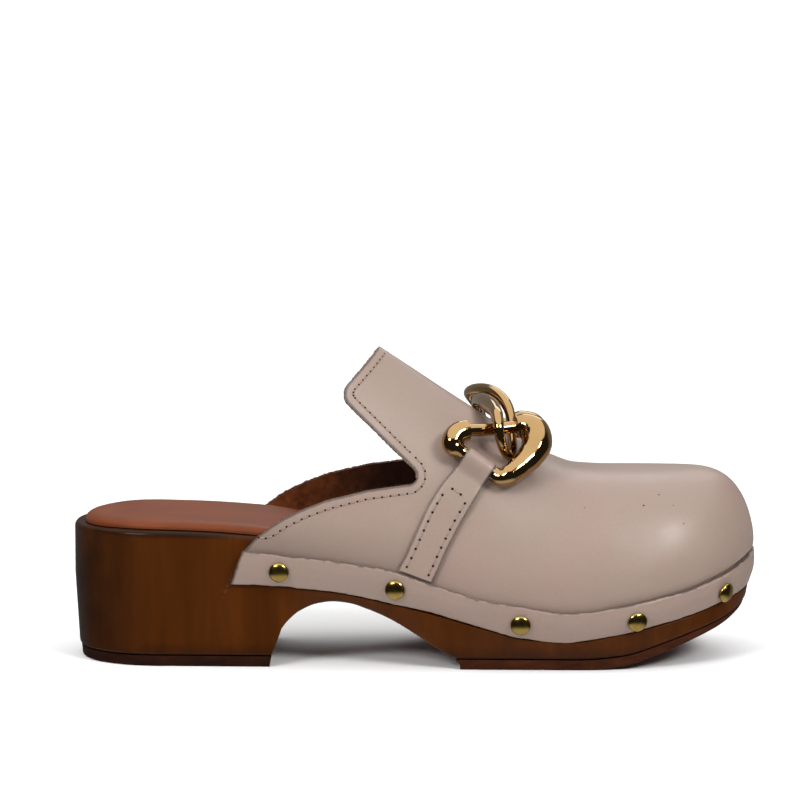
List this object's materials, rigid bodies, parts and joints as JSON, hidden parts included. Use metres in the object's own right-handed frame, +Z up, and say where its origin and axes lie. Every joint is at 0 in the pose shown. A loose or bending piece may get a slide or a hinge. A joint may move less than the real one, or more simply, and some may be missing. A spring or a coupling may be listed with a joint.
{
  "type": "wooden clog",
  "caption": "Backless wooden-soled clog for the right foot with a block heel, closed leather upper, raised instep tab, studded leather rand and a metal chain across the instep.",
  "frame": {"origin": "middle of the shoe's length and width on the floor under the sole", "axes": "+X from heel to toe, +Y towards the inner (medial) side of the foot, +Z up"},
  "size_m": [0.2548, 0.0939, 0.1156],
  "materials": {
    "wood": "dark stained, satin lacquer",
    "rubber": "matte dark brown",
    "insole_leather": "satin tan",
    "upper_leather": "satin blush beige",
    "stud_brass": "polished",
    "chain_metal": "mirror gold plate"
  },
  "bodies": {
    "root": {"wood_sole": "wood", "heel_lift": "rubber", "forefoot_tread": "rubber", "insole": "insole_leather", "upper": "upper_leather", "rand": "upper_leather", "strap_lateral": "upper_leather", "strap_medial": "upper_leather", "chain_link_lateral": "chain_metal", "chain_link_middle": "chain_metal", "chain_link_medial": "chain_metal", "stud_lateral_1": "stud_brass", "stud_lateral_2": "stud_brass", "stud_lateral_3": "stud_brass", "stud_lateral_4": "stud_brass", "stud_lateral_5": "stud_brass", "stud_medial_1": "stud_brass", "stud_medial_2": "stud_brass", "stud_medial_3": "stud_brass", "stud_medial_4": "stud_brass", "stud_medial_5": "stud_brass"}
  },
  "joints": []
}
